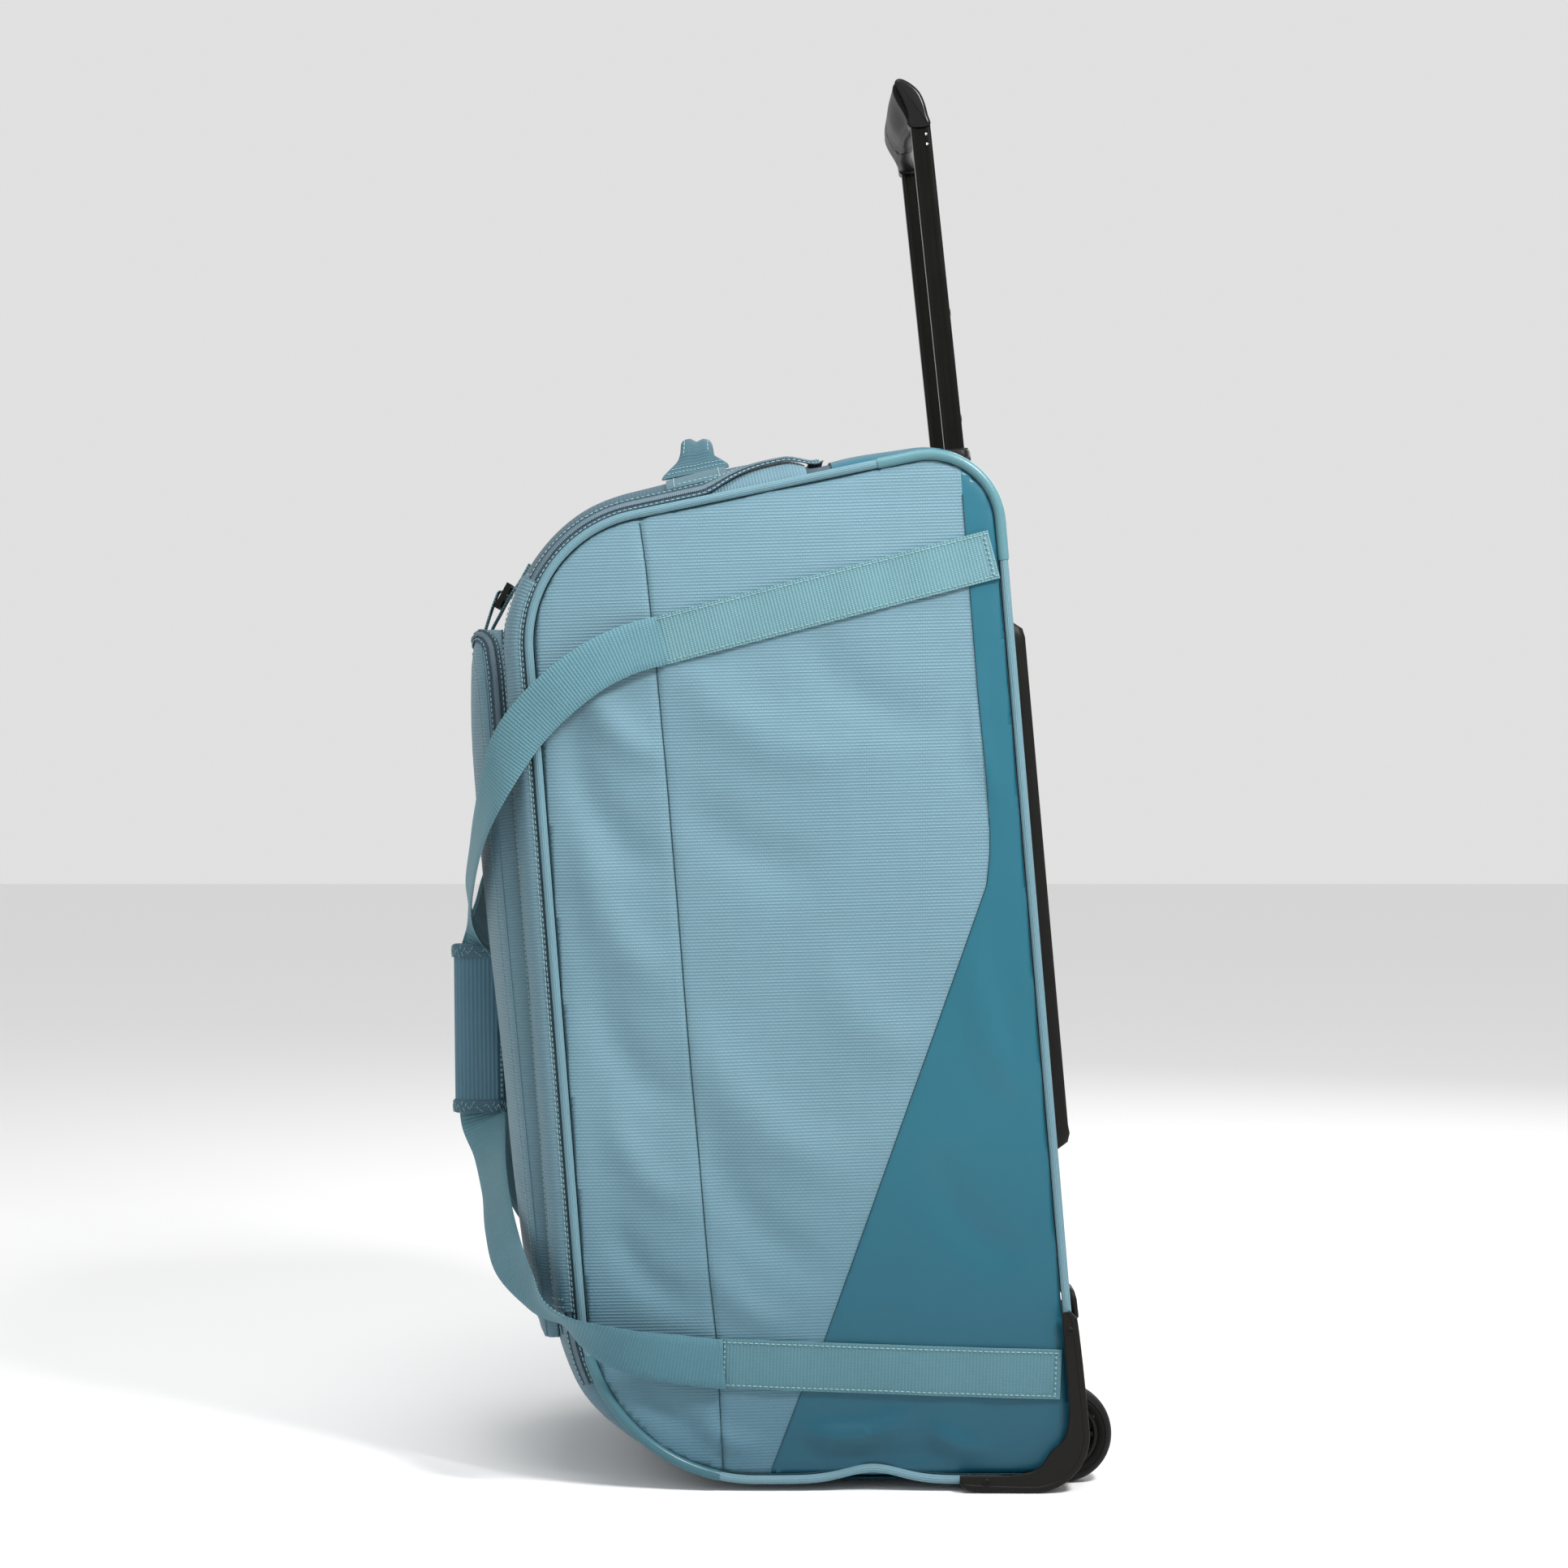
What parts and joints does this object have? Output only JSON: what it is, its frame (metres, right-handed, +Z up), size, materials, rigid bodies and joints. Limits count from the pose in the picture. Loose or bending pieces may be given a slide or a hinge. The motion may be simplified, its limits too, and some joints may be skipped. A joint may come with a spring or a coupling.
{
  "type": "rolling duffel bag",
  "caption": "Upright wheeled duffel bag with a telescopic trolley handle, ripstop shell, zipped lid, front pocket, webbing carry loops with a wrap and corner guards.",
  "frame": {"origin": "middle of the bounding box at floor level", "axes": "+Z up the standing bag, +X towards the trolley side, Y across the bag"},
  "size_m": [0.5269, 0.4546, 1.1071],
  "materials": {
    "ripstop": "ripstop weave, light teal blue",
    "coated": "smooth coated fabric, dark teal, satin",
    "webbing": "woven webbing, teal",
    "zip": "slate coil zip",
    "zip_metal": "painted zip slider",
    "plastic": "moulded black, fine texture",
    "grip": "soft black satin",
    "tube": "black anodised, satin",
    "outer_tube": "plain",
    "rubber": "matte",
    "steel": "zinc plated",
    "board": "extruded sheet"
  },
  "bodies": {
    "root": {"axle_left": "steel", "axle_right": "steel", "back_board": "board", "back_panel": "ripstop", "base_board": "board", "base_tray": "plastic", "bottom_panel": "coated", "closure_strap": "webbing", "corner_guard_left": "plastic", "corner_guard_right": "plastic", "front_foot_left": "rubber", "front_foot_right": "rubber", "front_pocket": "ripstop", "handle_bezel": "plastic", "haul_patch_left": "webbing", "haul_patch_right": "webbing", "ladder_lock": "plastic", "lid_panel": "ripstop", "lower_strap_left": "webbing", "lower_strap_right": "webbing", "main_zip": "zip", "outer_tube_left": "outer_tube", "outer_tube_right": "outer_tube", "piping_left": "ripstop", "piping_right": "ripstop", "pocket_zip": "zip", "side_panel_left": "ripstop", "side_panel_right": "ripstop", "skid_rail_left": "plastic", "skid_rail_right": "plastic", "top_panel": "coated", "tube_foot_bracket": "plastic", "upper_strap_left": "webbing", "upper_strap_right": "webbing", "wheel_housing_left": "plastic", "wheel_housing_right": "plastic"},
    "trolley": {"inner_tube_left": "tube", "inner_tube_right": "tube", "grip": "grip", "button_spring": "steel"},
    "button": {"handle_button": "rubber"},
    "wheel_left": {"tyre_left": "rubber", "wheel_hub_left": "plastic"},
    "wheel_right": {"tyre_right": "rubber", "wheel_hub_right": "plastic"},
    "main_slider_left": {"zip_slider_main_left": "zip_metal"},
    "main_slider_right": {"zip_slider_main_right": "zip_metal"},
    "pocket_slider": {"zip_slider_pocket": "zip_metal"},
    "main_pull_left": {"zip_pull_main_left": "zip_metal"},
    "main_pull_right": {"zip_pull_main_right": "zip_metal"},
    "pocket_pull": {"zip_pull_pocket": "zip_metal"},
    "haul": {"haul_handle": "webbing"},
    "carry_handles": {"upper_loop_left": "webbing", "upper_loop_right": "webbing", "lower_loop_left": "webbing", "lower_loop_right": "webbing", "grip_wrap": "webbing"}
  },
  "joints": [
    {"name": "handle_slide", "type": "slide", "parent": "root", "child": "trolley", "axis": [-0.1045, 0, 0.9945], "range_m": [-0.195, 0]},
    {"name": "button_press", "type": "slide", "parent": "trolley", "child": "button", "axis": [0.1045, 0, -0.9945], "range_m": [0, 0.004], "stiffness_N_per_m": 400, "deforming": ["button_spring"]},
    {"name": "wheel_spin_left", "type": "hinge", "parent": "root", "child": "wheel_left", "pos_m": [0.2255, -0.15, 0.038], "axis": [0, 1, 0], "continuous": true},
    {"name": "wheel_spin_right", "type": "hinge", "parent": "root", "child": "wheel_right", "pos_m": [0.2255, 0.15, 0.038], "axis": [0, 1, 0], "continuous": true},
    {"name": "main_slider_left_run", "type": "slide", "parent": "root", "child": "main_slider_left", "axis": [0, -1, 0], "range_m": [0, 0.13]},
    {"name": "main_slider_right_run", "type": "slide", "parent": "root", "child": "main_slider_right", "axis": [0, 1, 0], "range_m": [0, 0.02]},
    {"name": "pocket_slider_run", "type": "slide", "parent": "root", "child": "pocket_slider", "axis": [0, -1, 0], "range_m": [0, 0.12]},
    {"name": "main_pull_left_lift", "type": "hinge", "parent": "main_slider_left", "child": "main_pull_left", "pos_m": [0.03003, 0.0455, 0.81049], "axis": [-0.9794, 0, -0.2021], "range_deg": [0, 150]},
    {"name": "main_pull_right_lift", "type": "hinge", "parent": "main_slider_right", "child": "main_pull_right", "pos_m": [0.03003, 0.0945, 0.81049], "axis": [0.9794, 0, 0.2021], "range_deg": [0, 150]},
    {"name": "pocket_pull_lift", "type": "hinge", "parent": "pocket_slider", "child": "pocket_pull", "pos_m": [-0.25135, 0.0645, 0.65719], "axis": [0.0173, 0, 0.9999], "range_deg": [0, 150]},
    {"name": "haul_tip", "type": "hinge", "parent": "root", "child": "haul", "pos_m": [-0.06376, 0, 0.79637], "axis": [0, 1, 0], "range_deg": [-28, 9]},
    {"name": "carry_lift", "type": "slide", "parent": "root", "child": "carry_handles", "axis": [-1, 0, 0], "range_m": [0, 0.03], "deforming": ["upper_loop_left", "upper_loop_right", "lower_loop_left", "lower_loop_right"]}
  ]
}
